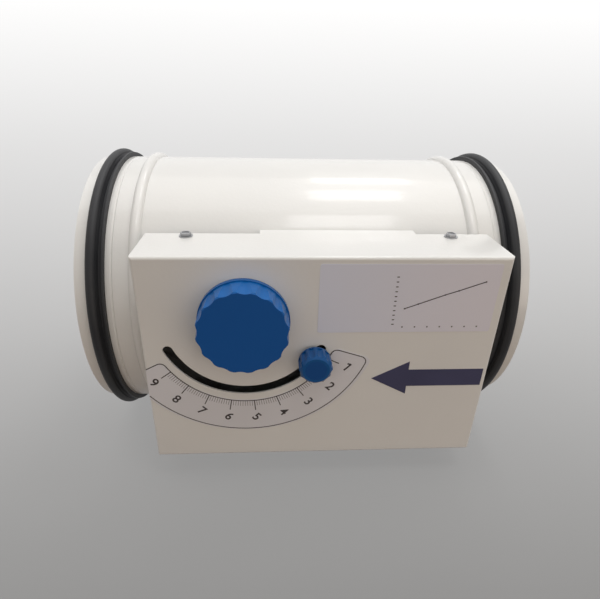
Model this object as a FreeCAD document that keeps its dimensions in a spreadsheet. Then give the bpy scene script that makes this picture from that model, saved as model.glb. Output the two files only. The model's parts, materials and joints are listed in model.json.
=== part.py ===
import FreeCAD, Part
import math
import os
import Sketcher

# Self-acting constant flow damper for a round ventilation duct of nominal size 200.
#
# Frame: +X points out of the air inlet along the duct's axis, +Z is up and the
# setting side faces -Y. The origin is the centre of the inlet spigot's end plane.
# All lengths are in millimetres and all angles in degrees.

document = FreeCAD.newDocument("constant_flow_damper")

# Driving dimensions

SIZES = {
    # Round casing with its rolled beads and seal grooves
    "duct_length": 305,
    "duct_radius": 99.5,
    "duct_wall": 0.9,
    "tip_drop": 0.4,
    "bead_inset": 38.6,
    "bead_half_width": 4,
    "bead_height": 3.4,
    "seal_inset": 8.2,
    "seal_width": 11.5,
    "groove_depth": 2.2,
    "step_gap": 3.2,
    "step_half": 0.8,
    "step_depth": 0.7,
    # Lip seals
    "lip_height": 6,
    "fin_height": 3.5,
    "seal_band": 0.9,
    # Clearances
    "seat_gap": 0.05,
    "running_gap": 0.05,
    "hole_gap": 0.15,
    "touch_gap": 0.3,
    # Folded cover
    "cover_shift": 7.3,
    "cover_margin": 39.8,
    "cover_top_drop": 32.2,
    "cover_bottom_drop": 15.3,
    "cover_stand": 24.5,
    "cover_sheet": 1.2,
    "bend_radius": 2,
    "flange_gap": 7.5,
    "saddle_gap": 1.5,
    "tab_left": 39.2,
    "tab_right": 64.3,
    # Folded frame that carries the mechanism
    "frame_sheet": 1.5,
    "frame_end_gap": 0.3,
    # Fasteners
    "screw_edge": 26.7,
    "screw_inset": 5.5,
    "screw_radius": 2,
    "screw_length": 8,
    "screw_washer_radius": 4.4,
    "screw_washer": 0.7,
    "screw_hex_radius": 3.45,
    "screw_hex_height": 1.8,
    "screw_dish_radius": 2.3,
    "screw_dish": 0.5,
    "rivet_radius": 2,
    "rivet_head_radius": 4,
    "rivet_head_height": 1.5,
    "rivet_tail_radius": 2.8,
    "rivet_tail_length": 1.1,
    "frame_rivet_edge": 16.7,
    "frame_rivet_spacing": 34,
    # Blade axle and its bearings
    "axle_shift": 12.5,
    "axle_height": 23.6,
    "axle_radius": 4,
    "axle_flat": 1,
    "axle_end_gap": 0.6,
    "bush_radius": 6,
    "bush_flange_radius": 10,
    "bush_flange": 2,
    "bush_play": 0.8,
    "boss_radius": 17,
    "boss_stand": 4.5,
    "boss_floor": 4,
    "boss_rivet_spacing": 24,
    "clip_radius": 6.6,
    "clip_thickness": 1,
    "clip_groove": 0.4,
    # Damper blade
    "blade_gap": 1.6,
    "blade_sheet": 1.5,
    "blade_side_gap": 1.2,
    "rib_radius": 4.5,
    "rib_end_gap": 39,
    "rib_edge": 27,
    "blade_screw_edge": 14.9,
    "blade_screw_radius": 1.5,
    "blade_screw_head_radius": 2.8,
    "blade_screw_head": 2,
    "closing_angle": 80,
    # Crank on the axle
    "crank_hub_radius": 9,
    "crank_hub_length": 5.8,
    "crank_radius": 22,
    "crank_half_width": 5,
    "crank_sheet": 3,
    "peg_radius": 2,
    "stop_radius": 3,
    "stop_foot_radius": 1.5,
    "stop_reach": 16,
    "set_screw_radius": 2,
    "socket_radius": 1,
    # Bellows and its bracket
    "bracket_height": 36,
    "bracket_sheet": 1.2,
    "bracket_start": 12,
    "bracket_length": 64,
    "bracket_tab": 13,
    "bracket_rivet_spacing": 40,
    "bracket_rivet_rise": 7.8,
    "bellows_start": 14,
    "bellows_length": 60,
    "bellows_width": 66,
    "bellows_fold": 3,
    "bellows_wall": 0.8,
    # Dial: knob axis, arc slot and setting lever
    "dial_edge": 64,
    "dial_height": 26,
    "slot_radius": 52.9,
    "slot_width": 6.4,
    "slot_angle": 66,
    "setting_angle": 57,
    "pivot_radius": 4,
    "pivot_foot_radius": 3,
    "hub_radius": 8,
    "shank_radius": 6,
    "shank_flat": 1.5,
    "lever_gap": 1.3,
    "lever_sheet": 2,
    "lever_half_width": 7,
    "anchor_reach": 30,
    # Big knob
    "knob_radius": 27.6,
    "knob_height": 17,
    "knob_edge": 0.8,
    "knob_rim": 3,
    "knob_rim_step": 0.7,
    "knob_lobes": 16,
    "knob_turn": 7.6,
    "knob_scallop": 1.5,
    "knob_cutter": 10,
    "knob_wall": 3,
    "knob_socket": 11,
    # Small clamp knob with its threaded insert, stud and washer
    "clamp_radius": 10.6,
    "clamp_height": 11,
    "clamp_bevel": 2.1,
    "clamp_rim": 1.2,
    "clamp_lobes": 12,
    "clamp_scallop": 1.1,
    "clamp_cutter": 3,
    "insert_radius": 4.5,
    "insert_length": 8,
    "stud_radius": 2.5,
    "stud_head_radius": 5,
    "stud_head": 2,
    "stud_end_gap": 1,
    "washer_radius": 7.5,
    "washer_thickness": 2,
    # Tension spring
    "spring_radius": 3.2,
    "spring_bail": 6,
    "spring_wire_radius": 0.75,
    # Labels
    "label_thickness": 0.2,
    "scale_gap": 8.4,
    "scale_width": 25.5,
    "scale_start_angle": 70.4,
    "scale_end_angle": 60.6,
    "scale_corner": 4,
    "scale_edge_gap": 0.3,
    "plate_lap": 3.3,
    "plate_edge": 6,
    "plate_level": 16.8,
    "plate_drop": 4.2,
    "plate_corner": 1.5,
    "arrow_gap": 1.2,
    "arrow_edge": 3.2,
    "arrow_level": 19,
    "arrow_head_share": 0.3245,
    "arrow_head_half": 13.1,
    "arrow_shaft_half": 6.65,
}

SPRING_COILS = 24
BELLOWS_PLEATS = 4


class Size:
    """A number together with its formula in the names of the sheet."""

    def __init__(self, number, formula):
        self.number = number
        self.formula = formula

    def joined(self, other, sign, number):
        return Size(number, "(" + self.formula + " " + sign + " " + other.formula + ")")

    def __add__(self, other):
        other = size(other)
        return self.joined(other, "+", self.number + other.number)

    def __sub__(self, other):
        other = size(other)
        return self.joined(other, "-", self.number - other.number)

    def __mul__(self, other):
        other = size(other)
        return self.joined(other, "*", self.number * other.number)

    def __truediv__(self, other):
        other = size(other)
        return self.joined(other, "/", self.number / other.number)

    def __radd__(self, other):
        return size(other) + self

    def __rsub__(self, other):
        return size(other) - self

    def __rmul__(self, other):
        return size(other) * self

    def __neg__(self):
        return Size(-self.number, "(0 - " + self.formula + ")")


def size(value):
    if isinstance(value, Size):
        return value
    text = format(float(value), ".9f")
    return Size(float(value), text if text[0] != "-" else "(0 - " + text[1:] + ")")


def root(value):
    return Size(math.sqrt(value.number), "sqrt(" + value.formula + ")")


def square(value):
    return value * value


def sine(angle):
    return Size(math.sin(math.radians(angle.number)), "sin(" + angle.formula + ")")


def cosine(angle):
    return Size(math.cos(math.radians(angle.number)), "cos(" + angle.formula + ")")


class Named:
    """Gives each cell of the sheet as a Size, such as s.duct_length."""

    def __getattr__(self, name):
        return Size(float(SIZES[name]), "Sizes." + name)


def fill_sheet():
    sheet = document.addObject("Spreadsheet::Sheet", "Sizes")
    for row, (name, value) in enumerate(SIZES.items(), start=1):
        sheet.set("A" + str(row), name)
        sheet.set("B" + str(row), str(value))
        sheet.setAlias("B" + str(row), name)
    document.recompute()


fill_sheet()
s = Named()
nodes = {}

# Turns that point an object's own Z axis along a row axis
ALONG = {
    "X": FreeCAD.Rotation(FreeCAD.Vector(0, 1, 0), 90),
    "Y": FreeCAD.Rotation(FreeCAD.Vector(1, 0, 0), -90),
    "-Y": FreeCAD.Rotation(FreeCAD.Vector(1, 0, 0), 90),
    "Z": FreeCAD.Rotation(),
    "-Z": FreeCAD.Rotation(FreeCAD.Vector(1, 0, 0), 180),
}


# Primitives and booleans with their sizes and places bound to the sheet

def place(made, base, turn=FreeCAD.Rotation()):
    made.Placement = FreeCAD.Placement(FreeCAD.Vector(), turn)
    for axis, value in zip("xyz", base):
        made.setExpression("Placement.Base." + axis, size(value).formula)
    return made


def bound(kind, name, **sizes):
    made = document.addObject("Part::" + kind, name)
    for key, value in sizes.items():
        made.setExpression(key, size(value).formula)
    return made


def turn_of(along):
    return ALONG[along] if isinstance(along, str) else along


def cylinder(name, radius, length, base, along="Z"):
    return place(bound("Cylinder", name, Radius=radius, Height=length), base, turn_of(along))


def cone(name, radius, far_radius, length, base, along="Z"):
    made = bound("Cone", name, Radius1=radius, Radius2=far_radius, Height=length)
    return place(made, base, turn_of(along))


def hexagon(name, radius, length, base, along="Z"):
    made = bound("Prism", name, Circumradius=radius, Height=length)
    made.Polygon = 6
    return place(made, base, turn_of(along))


def block(name, low, high):
    low = [size(value) for value in low]
    high = [size(value) for value in high]
    length, width, height = [far - near for near, far in zip(low, high)]
    return place(bound("Box", name, Length=length, Width=width, Height=height), low)


def fused(name, *shapes):
    made = document.addObject("Part::MultiFuse", name)
    made.Shapes = list(shapes)
    return made


def cut(name, base, *tools):
    made = document.addObject("Part::Cut", name)
    made.Base = base
    made.Tool = tools[0] if len(tools) == 1 else fused(name + "_tools", *tools)
    return made


def common(name, first, second):
    made = document.addObject("Part::MultiCommon", name)
    made.Shapes = [first, second]
    return made


def group(name, *shapes):
    made = document.addObject("Part::Compound", name)
    made.Links = list(shapes)
    return made


def node(name, made):
    made.Label = name
    nodes[name] = made
    return made


# Outlines: a list of (x, y) corners with an Arc between two of them where they bend

class Arc:
    """An arc about a centre that turns left (anticlockwise) or right."""

    def __init__(self, centre_x, centre_y, hand):
        self.centre = (size(centre_x), size(centre_y))
        self.hand = hand

    def turned(self):
        return "right" if self.hand == "left" else "left"


def backwards(outline):
    items = []
    for item in reversed(outline):
        items.append(Arc(*item.centre, item.turned()) if isinstance(item, Arc) else item)
    return items


def mirrored(outline, middle):
    items = []
    for item in outline:
        if isinstance(item, Arc):
            items.append(Arc(2 * middle - item.centre[0], item.centre[1], item.turned()))
        else:
            items.append((2 * middle - item[0], item[1]))
    return items


def rectangle(left, bottom, right, top):
    return [(left, bottom), (right, bottom), (right, top), (left, top)]


def rounded_rectangle(left, bottom, right, top, corner):
    return [
        (left + corner, bottom), (right - corner, bottom),
        Arc(right - corner, bottom + corner, "left"),
        (right, bottom + corner), (right, top - corner),
        Arc(right - corner, top - corner, "left"),
        (right - corner, top), (left + corner, top),
        Arc(left + corner, top - corner, "left"),
        (left, top - corner), (left, bottom + corner),
        Arc(left + corner, bottom + corner, "left"),
    ]


def sketch_on(body, name, role, offset=0):
    made = body.newObject("Sketcher::SketchObject", name)
    plane = next(item for item in body.Origin.OriginFeatures if item.Role == role)
    made.AttachmentSupport = [(plane, "")]
    made.MapMode = "FlatFace"
    made.setExpression("AttachmentOffset.Base.z", size(offset).formula)
    return made


def flat(point):
    return FreeCAD.Vector(point[0].number, point[1].number, 0)


def add_size(sketch, constraint, value):
    index = sketch.addConstraint(constraint)
    sketch.setExpression("Constraints[" + str(index) + "]", value.formula)


def fix_point(sketch, edge, position, point):
    for kind, value in zip(("DistanceX", "DistanceY"), point):
        add_size(sketch, Sketcher.Constraint(kind, -1, 1, edge, position, value.number), value)


def fix_bend(sketch, edge, start, end, centre):
    """Fixes an arc's centre along the line that halves its chord."""
    level_chord = abs(end[0].number - start[0].number) >= abs(end[1].number - start[1].number)
    kind, value = ("DistanceY", centre[1]) if level_chord else ("DistanceX", centre[0])
    add_size(sketch, Sketcher.Constraint(kind, -1, 1, edge, 3, value.number), value)


def draw_arc(sketch, start, end, arc):
    centre = flat(arc.centre)
    first = math.atan2(start[1].number - centre.y, start[0].number - centre.x)
    last = math.atan2(end[1].number - centre.y, end[0].number - centre.x)
    if arc.hand == "right":
        first, last = last, first
    while last < first:
        last += 2 * math.pi
    circle = Part.Circle(centre, FreeCAD.Vector(0, 0, 1), flat(start).distanceToPoint(centre))
    edge = sketch.addGeometry(Part.ArcOfCircle(circle, first, last), False)
    return (edge, 1, 2) if arc.hand == "left" else (edge, 2, 1)


def draw_outline(sketch, outline):
    points, arcs = [], {}
    for item in outline:
        if isinstance(item, Arc):
            arcs[len(points) - 1] = item
        else:
            points.append((size(item[0]), size(item[1])))
    edges = []
    for number, start in enumerate(points):
        end = points[(number + 1) % len(points)]
        if number in arcs:
            edges.append(draw_arc(sketch, start, end, arcs[number]))
        else:
            line = Part.LineSegment(flat(start), flat(end))
            edges.append((sketch.addGeometry(line, False), 1, 2))
    for number, (edge, start, end) in enumerate(edges):
        next_edge, next_start, _ = edges[(number + 1) % len(edges)]
        sketch.addConstraint(Sketcher.Constraint("Coincident", edge, end, next_edge, next_start))
        fix_point(sketch, edge, start, points[number])
        if number in arcs:
            end_point = points[(number + 1) % len(points)]
            fix_bend(sketch, edge, points[number], end_point, arcs[number].centre)


def draw_circle(sketch, x, y, radius):
    point = (size(x), size(y))
    radius = size(radius)
    edge = sketch.addGeometry(Part.Circle(flat(point), FreeCAD.Vector(0, 0, 1), radius.number), False)
    fix_point(sketch, edge, 3, point)
    add_size(sketch, Sketcher.Constraint("Radius", edge, radius.number), radius)


def feature(body, kind, name, sketch=None, **sizes):
    made = body.newObject("PartDesign::" + kind, name)
    if sketch is not None:
        made.Profile = sketch
        sketch.Visibility = False
    for key, value in sizes.items():
        made.setExpression(key, size(value).formula)
    body.Tip = made
    return made


def new_body(name):
    return document.addObject("PartDesign::Body", name)


def revolved(name, outline):
    """Turns an outline of (x, radius) corners about the duct's axis."""
    body = new_body(name)
    sketch = sketch_on(body, name + "_section", "XZ_Plane")
    draw_outline(sketch, outline)
    turn = feature(body, "Revolution", name + "_turn", sketch)
    turn.ReferenceAxis = (sketch, ["H_Axis"])
    turn.Angle = 360
    return body


def standing(name, outline, back, thickness):
    """Raises a front-view outline from the plane `back` towards the setting side."""
    body = new_body(name)
    sketch = sketch_on(body, name + "_outline", "XZ_Plane", back)
    draw_outline(sketch, outline)
    feature(body, "Pad", name + "_sheet", sketch, Length=thickness)
    return body


# Places that several pieces share; distances towards the setting side are positive

middle_x = -s.duct_length / 2
inner_radius = s.duct_radius - s.duct_wall
cover_x = middle_x + s.cover_shift
cover_width = s.duct_length - 2 * s.cover_margin
cover_top = s.duct_radius - s.cover_top_drop
cover_bottom = s.duct_radius - s.cover_bottom_drop
cover_front = s.duct_radius + s.cover_stand
cover_left = cover_x - cover_width / 2
cover_right = cover_x + cover_width / 2
cover_inside = cover_front - s.cover_sheet
web_back = s.duct_radius + s.touch_gap
web_front = web_back + s.frame_sheet
flange_top = cover_top - s.cover_sheet
flange_bottom = cover_bottom - s.cover_sheet
cover_back = root(square(s.duct_radius + s.touch_gap) - square(flange_top)) + s.flange_gap
cover_depth = cover_front - cover_back
screw_line = cover_back + s.screw_inset
axle_x = middle_x + s.axle_shift
boss_face = s.duct_radius + s.boss_stand
blade_radius = inner_radius - s.blade_gap
blade_half = root(square(blade_radius) - square(s.axle_height)) - s.blade_side_gap
blade_top = s.axle_height - s.axle_radius + s.axle_flat
blade_bottom = blade_top - s.blade_sheet
blade_x = axle_x + s.axle_height
bush_end = blade_half + s.bush_play
bush_front = web_front + s.bush_flange
clip_back = bush_front + s.touch_gap
crank_back = clip_back + s.clip_thickness + s.touch_gap
crank_front = crank_back + s.crank_sheet
dial_x = cover_left + s.dial_edge
lever_front = cover_inside - s.lever_gap
lever_back = lever_front - s.lever_sheet
peg_front = lever_back - s.touch_gap
spring_level = peg_front - s.spring_radius - s.spring_wire_radius
knob_back = cover_front + s.touch_gap
washer_front = knob_back + s.washer_thickness
clamp_back = washer_front + s.touch_gap
scale_inner = s.slot_radius + s.scale_gap
scale_outer = scale_inner + s.scale_width


def along_lever(distance):
    """Gives a place on the setting lever at a distance from the dial's axis."""
    x = dial_x + distance * sine(s.setting_angle)
    return x, s.dial_height - distance * cosine(s.setting_angle)


stud_x, stud_z = along_lever(s.slot_radius)


def frame_rivet_places():
    left, right = cover_left + s.frame_rivet_edge, cover_right - s.frame_rivet_edge
    return [left, left + s.frame_rivet_spacing, right - s.frame_rivet_spacing, right]


def boss_rivet_places():
    return [axle_x - s.boss_rivet_spacing / 2, axle_x + s.boss_rivet_spacing / 2]


def screw_places():
    return [cover_left + s.screw_edge, cover_right - s.screw_edge]


def blade_screw_places():
    reach = blade_half - s.blade_screw_edge
    return [-reach, -reach / 3, reach / 3, reach]


def bracket_rivet_places():
    """Gives each rivet's X and the turn that points it outwards through the wall."""
    middle = axle_x + s.bracket_start + s.bracket_length / 2
    half = s.bracket_rivet_spacing / 2
    places = []
    level = s.bracket_height + s.bracket_rivet_rise
    lean = math.degrees(math.acos(level.number / inner_radius.number))
    for side in (lean, -lean):
        turn = FreeCAD.Rotation(FreeCAD.Vector(1, 0, 0), side)
        places += [(middle - half, turn), (middle + half, turn)]
    return places


def stop_places():
    """The open stop stands beside the upright crank, the closed one where it ends."""
    side = s.crank_half_width + s.stop_radius + s.touch_gap
    sin, cos = sine(s.closing_angle), cosine(s.closing_angle)
    return [
        (axle_x - side, s.axle_height + s.stop_reach),
        (axle_x + side * cos + s.stop_reach * sin, s.axle_height + s.stop_reach * cos - side * sin),
    ]


# Round casing: one sheet, rolled with a seal groove and a bead near each end

def make_duct_body():
    radius, far = s.duct_radius, s.seal_inset + s.seal_width
    groove = radius - s.groove_depth
    step = -far - s.step_gap - s.step_half
    bead = (square(s.bead_half_width) + square(s.bead_height)) / (2 * s.bead_height)
    bead_centre = radius + s.bead_height - bead
    inner_half = root(square(bead - s.duct_wall) - square(inner_radius - bead_centre))
    outer = [
        (size(0), radius - s.tip_drop),
        (-s.seal_inset, radius - s.tip_drop),
        (-s.seal_inset, groove),
        (-far, groove),
        (-far, radius),
        (step + s.step_half, radius),
        (step, radius - s.step_depth),
        (step - s.step_half, radius),
        (s.bead_half_width - s.bead_inset, radius),
        Arc(-s.bead_inset, bead_centre, "left"),
        (-s.bead_inset - s.bead_half_width, radius),
    ]
    inner = [
        (size(0), inner_radius - s.tip_drop),
        (s.duct_wall - s.seal_inset, inner_radius - s.tip_drop),
        (s.duct_wall - s.seal_inset, groove - s.duct_wall),
        (-far - s.duct_wall, groove - s.duct_wall),
        (-far - s.duct_wall, inner_radius),
        (step + s.step_half, inner_radius),
        (step, inner_radius - s.step_depth),
        (step - s.step_half, inner_radius),
        (inner_half - s.bead_inset, inner_radius),
        Arc(-s.bead_inset, bead_centre, "left"),
        (-s.bead_inset - inner_half, inner_radius),
    ]
    outer += backwards(mirrored(outer, middle_x))
    inner += backwards(mirrored(inner, middle_x))
    shell = revolved("duct_shell", outer + backwards(inner))
    height, reach = s.axle_height, s.duct_radius * 1.2
    bearing_hole = s.bush_radius + s.hole_gap
    rivet_hole = s.rivet_radius + s.hole_gap
    holes = [
        cylinder("front_bearing_hole", bearing_hole, reach, (axle_x, 0, height), "-Y"),
        cylinder("rear_bearing_hole", bearing_hole, reach, (axle_x, 0, height), "Y"),
    ]
    for number, x in enumerate(frame_rivet_places()):
        holes.append(cylinder("frame_rivet_hole_" + str(number), rivet_hole, reach, (x, 0, 0), "-Y"))
    for number, x in enumerate(boss_rivet_places()):
        holes.append(cylinder("boss_rivet_hole_" + str(number), rivet_hole, reach, (x, 0, height), "Y"))
    for number, (x, turn) in enumerate(bracket_rivet_places()):
        holes.append(cylinder("bracket_rivet_hole_" + str(number), rivet_hole, reach, (x, 0, 0), turn))
    node("duct_body", cut("duct_body", shell, *holes))


# Lip seals: a band in each groove with a tall rounded lip and a thin fin behind it

def make_seals():
    near = s.seal_inset + s.seat_gap
    far = s.seal_inset + s.seal_width - s.seat_gap
    bottom = s.duct_radius - s.groove_depth + s.seat_gap
    band = s.duct_radius + s.seal_band
    width = far - near
    lip_half = width * 0.28
    lip_middle = near + lip_half * 1.05
    lip_centre = s.duct_radius + s.lip_height - lip_half
    fin = s.duct_radius + s.fin_height
    outline = [
        (-near, bottom),
        (-near, band),
        (lip_half - lip_middle, lip_centre),
        Arc(-lip_middle, lip_centre, "left"),
        (-lip_half - lip_middle, lip_centre),
        (-near - width * 0.66, band),
        (-near - width * 0.78, band),
        (-near - width * 0.9, fin),
        (-far, fin - s.seal_band / 3),
        (-far, bottom),
    ]
    node("inlet_seal", revolved("inlet_seal", outline))
    node("outlet_seal", revolved("outlet_seal", backwards(mirrored(outline, middle_x))))


# Rivets: a coned head, a shank through the grip and a spread tail behind it

def rivet(name, base, along, grip):
    """The base is the seat under the head; the rivet points out of its head."""
    turn = turn_of(along)
    outwards = turn.multVec(FreeCAD.Vector(0, 0, 1))

    def behind(depth):
        parts = (outwards.x, outwards.y, outwards.z)
        return [size(start) - depth * part for start, part in zip(base, parts)]

    head = cone(name + "_head", s.rivet_head_radius, s.rivet_head_radius * 0.6, s.rivet_head_height, base, turn)
    shank = cylinder(name + "_shank", s.rivet_radius, grip, behind(grip), turn)
    tail = cylinder(name + "_tail", s.rivet_tail_radius, s.rivet_tail_length,
                    behind(grip + s.rivet_tail_length), turn)
    return fused(name, head, shank, tail)


# Folded frame: a web in front of the duct with both long edges folded back

def make_housing_frame():
    body = new_body("frame_fold")
    sheet, bend = s.frame_sheet, s.bend_radius
    front, back, edge = -web_front, -web_back, -cover_back
    top, bottom = flange_top, -flange_bottom
    left = cover_left + s.cover_sheet + s.frame_end_gap
    length = -s.bead_inset - s.bead_half_width - s.touch_gap - left
    section = sketch_on(body, "frame_section", "YZ_Plane", left)
    draw_outline(section, [
        (edge, top),
        (front + bend, top),
        Arc(front + bend, top - bend, "left"),
        (front, top - bend),
        (front, bottom + bend),
        Arc(front + bend, bottom + bend, "left"),
        (front + bend, bottom),
        (edge, bottom),
        (edge, bottom + sheet),
        (front + bend, bottom + sheet),
        Arc(front + bend, bottom + bend, "right"),
        (back, bottom + bend),
        (back, top - bend),
        Arc(front + bend, top - bend, "right"),
        (front + bend, top - sheet),
        (edge, top - sheet),
    ])
    feature(body, "Pad", "frame_pad", section, Length=length)
    reach = cover_front
    running = s.running_gap
    holes = [
        cylinder("frame_bush_hole", s.bush_radius + running, reach, (axle_x, 0, s.axle_height), "-Y"),
        cylinder("frame_pivot_hole", s.pivot_foot_radius + running, reach, (dial_x, 0, s.dial_height), "-Y"),
    ]
    for number, x in enumerate(frame_rivet_places()):
        holes.append(cylinder("frame_web_hole_" + str(number), s.rivet_radius + s.hole_gap,
                              reach, (x, 0, 0), "-Y"))
    for number, (x, z) in enumerate(stop_places()):
        holes.append(cylinder("frame_stop_hole_" + str(number), s.stop_foot_radius + running,
                              reach, (x, 0, z), "-Y"))
    for number, x in enumerate(screw_places()):
        holes.append(cylinder("frame_screw_hole_" + str(number), s.screw_radius + s.hole_gap,
                              cover_top + cover_bottom, (x, -screw_line, -cover_bottom)))
    node("housing_frame", cut("housing_frame", body, *holes))
    grip = web_front - inner_radius + s.hole_gap
    rivets = []
    for number, x in enumerate(frame_rivet_places()):
        rivets.append(rivet("frame_rivet_" + str(number), (x, -web_front, 0), "-Y", grip))
    node("frame_rivets", group("frame_rivets", *rivets))


# Cover: one folded sheet with a front, four sides, two tabs and saddle-cut ends

def edges_in_plane(shape, level):
    names = []
    for number, edge in enumerate(shape.Edges, start=1):
        box = edge.BoundBox
        if abs(box.YMin - level) < 0.01 and abs(box.YMax - level) < 0.01:
            names.append("Edge" + str(number))
    return names


def slot_outline():
    """An arc slot about the dial's axis, symmetric about straight down."""
    inner = s.slot_radius - s.slot_width / 2
    outer = s.slot_radius + s.slot_width / 2

    def spot(radius, hand):
        x = dial_x + hand * radius * sine(s.slot_angle)
        return x, s.dial_height - radius * cosine(s.slot_angle)

    return [
        spot(outer, -1),
        Arc(dial_x, s.dial_height, "left"),
        spot(outer, 1),
        Arc(*spot(s.slot_radius, 1), "left"),
        spot(inner, 1),
        Arc(dial_x, s.dial_height, "right"),
        spot(inner, -1),
        Arc(*spot(s.slot_radius, -1), "left"),
    ]


def make_cover():
    body = new_body("cover")
    sheet = s.cover_sheet
    outline = sketch_on(body, "cover_outline", "XZ_Plane", cover_back)
    draw_outline(outline, rectangle(cover_left, -cover_bottom, cover_right, cover_top))
    blank = feature(body, "Pad", "cover_blank", outline, Length=cover_depth)
    document.recompute()
    bends = feature(body, "Fillet", "cover_bends", Radius=s.bend_radius)
    bends.Base = (blank, edges_in_plane(blank.Shape, -cover_front.number))
    inside = sketch_on(body, "cover_inside", "XZ_Plane", cover_back)
    draw_outline(inside, rectangle(cover_left + sheet, sheet - cover_bottom,
                                   cover_right - sheet, cover_top - sheet))
    hollow = feature(body, "Pocket", "cover_hollow", inside, Length=cover_depth - sheet)
    hollow.Reversed = True
    saddle = sketch_on(body, "cover_saddle", "YZ_Plane", cover_left - sheet)
    draw_circle(saddle, 0, 0, s.duct_radius + s.saddle_gap)
    cradle = feature(body, "Pocket", "cover_cradle", saddle, Length=cover_width + 2 * sheet)
    cradle.Reversed = True
    for name, outside, inward in (("top", cover_top, flange_top),
                                  ("bottom", sheet - cover_bottom, flange_bottom)):
        reach = root(square(s.duct_radius + s.touch_gap) - square(inward))
        tab = sketch_on(body, "cover_tab_" + name, "XY_Plane", outside)
        draw_outline(tab, rectangle(cover_x - s.tab_left, -cover_back - sheet,
                                    cover_x + s.tab_right, -reach))
        tongue = feature(body, "Pad", "cover_tongue_" + name, tab, Length=sheet)
        tongue.Reversed = True
    slot = sketch_on(body, "cover_slot", "XZ_Plane", cover_front)
    draw_outline(slot, slot_outline())
    feature(body, "Pocket", "cover_slot_cut", slot, Length=2 * sheet)
    hub = sketch_on(body, "cover_hub_hole", "XZ_Plane", cover_front)
    draw_circle(hub, dial_x, s.dial_height, s.shank_radius + 2 * s.touch_gap)
    feature(body, "Pocket", "cover_hub_cut", hub, Length=2 * sheet)
    screws = sketch_on(body, "cover_screw_holes", "XY_Plane", cover_top)
    for x in screw_places():
        draw_circle(screws, x, -screw_line, s.screw_radius + s.hole_gap)
    feature(body, "Pocket", "cover_screw_cut", screws, Length=cover_top + cover_bottom)
    node("cover", body)


def make_cover_screws():
    screws = []
    for number, x in enumerate(screw_places()):
        for side, along, sign, level in (("top", "Z", 1, cover_top), ("bottom", "-Z", -1, -cover_bottom)):
            name = "cover_screw_" + side + "_" + str(number)
            y = -screw_line
            washer = cylinder(name + "_washer", s.screw_washer_radius, s.screw_washer, (x, y, level), along)
            head = hexagon(name + "_head", s.screw_hex_radius, s.screw_hex_height,
                           (x, y, level + sign * s.screw_washer), along)
            shank = cylinder(name + "_shank", s.screw_radius, s.screw_length,
                             (x, y, level - sign * s.screw_length), along)
            dish = cylinder(name + "_dish", s.screw_dish_radius, s.screw_hex_height,
                            (x, y, level + sign * (s.screw_washer + s.screw_hex_height - s.screw_dish)), along)
            screws.append(cut(name, fused(name + "_solid", washer, head, shank), dish))
    node("cover_screws", group("cover_screws", *screws))


# Bearings of the blade's axle: a flanged bush in front and a saddle block behind

def make_bearings():
    height = s.axle_height
    reach = bush_front - bush_end
    tube = cylinder("bush_tube", s.bush_radius, reach, (axle_x, -bush_front, height), "Y")
    flange = cylinder("bush_flange", s.bush_flange_radius, s.bush_flange, (axle_x, -bush_front, height), "Y")
    bore = cylinder("bush_bore", s.axle_radius + s.running_gap, reach * 3,
                    (axle_x, -bush_front - reach, height), "Y")
    node("front_bearing", cut("front_bearing", fused("bush_solid", tube, flange), bore))
    start = s.duct_radius / 2
    blank = cylinder("boss_blank", s.boss_radius, boss_face - start, (axle_x, start, height), "Y")
    saddle = cylinder("boss_saddle", s.duct_radius + s.seat_gap, s.boss_radius * 4,
                      (axle_x - s.boss_radius * 2, 0, 0), "X")
    spigot = cylinder("boss_spigot", s.bush_radius, boss_face - bush_end - 1, (axle_x, bush_end, height), "Y")
    solid = fused("boss_solid", cut("boss_seated", blank, saddle), spigot)
    tools = [cylinder("boss_bore", s.axle_radius + s.running_gap, boss_face - s.boss_floor - bush_end + 1,
                      (axle_x, bush_end - 1, height), "Y")]
    for number, x in enumerate(boss_rivet_places()):
        tools.append(cylinder("boss_hole_" + str(number), s.rivet_radius + s.hole_gap,
                              boss_face * 1.2, (x, 0, height), "Y"))
    node("rear_bearing", cut("rear_bearing", solid, *tools))
    wall_low = root(square(inner_radius) - square(height + s.rivet_tail_radius)) - s.seat_gap
    rivets = []
    for number, x in enumerate(boss_rivet_places()):
        rivets.append(rivet("boss_rivet_" + str(number), (x, boss_face, height), "Y", boss_face - wall_low))
    node("rear_bearing_rivets", group("rear_bearing_rivets", *rivets))


# Blade axle with a milled flat for the blade, and the clip in its groove

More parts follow.
